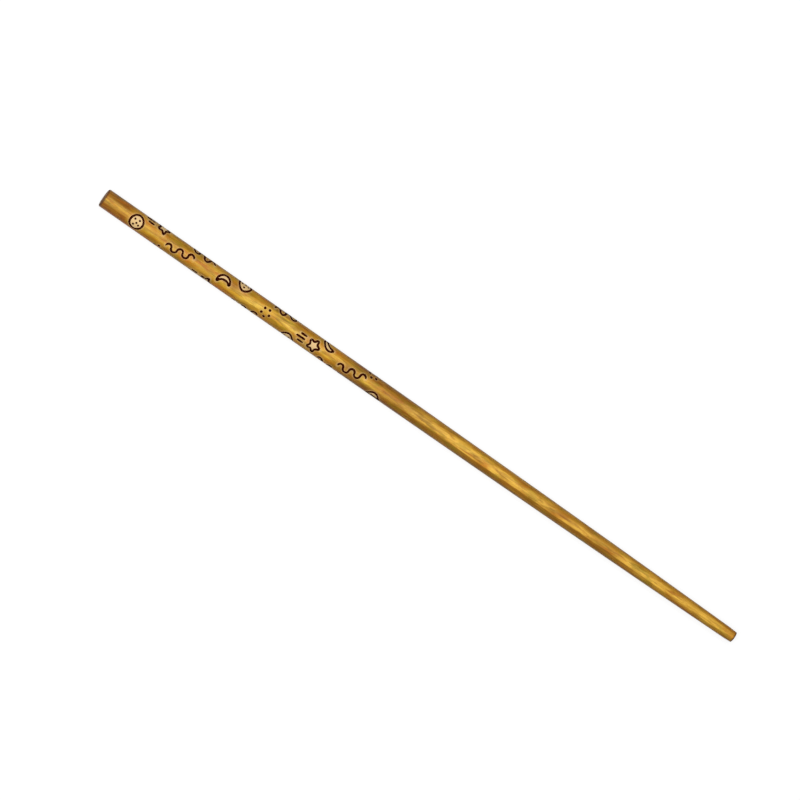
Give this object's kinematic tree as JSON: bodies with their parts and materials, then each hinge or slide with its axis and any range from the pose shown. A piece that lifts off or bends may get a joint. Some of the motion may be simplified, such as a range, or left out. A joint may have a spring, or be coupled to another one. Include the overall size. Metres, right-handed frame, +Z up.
{
  "type": "toy magic wand",
  "caption": "Slim tapered toy wand cast in wood-look painted resin round a steel core, with dark engraved moons, shooting stars and waves on its handle half.",
  "frame": {"origin": "the middle of the butt face, on the wand's axis", "axes": "+X along the wand from its butt to its tip, +Z up with the wand held level"},
  "size_m": [0.37, 0.0094, 0.0094],
  "materials": {
    "painted_resin": "hand-painted golden brown wood look under satin lacquer",
    "steel": "drawn bright steel rod",
    "line_paint": "dark maroon-brown paint wiped into the engraved lines"
  },
  "bodies": {
    "root": {"cast_body": "painted_resin", "steel_core": "steel", "moon_line_paint": "line_paint", "crescent_line_paint": "line_paint", "star_line_paint": "line_paint", "wave_line_paint": "line_paint", "dust_dot_paint": "line_paint"}
  },
  "joints": []
}
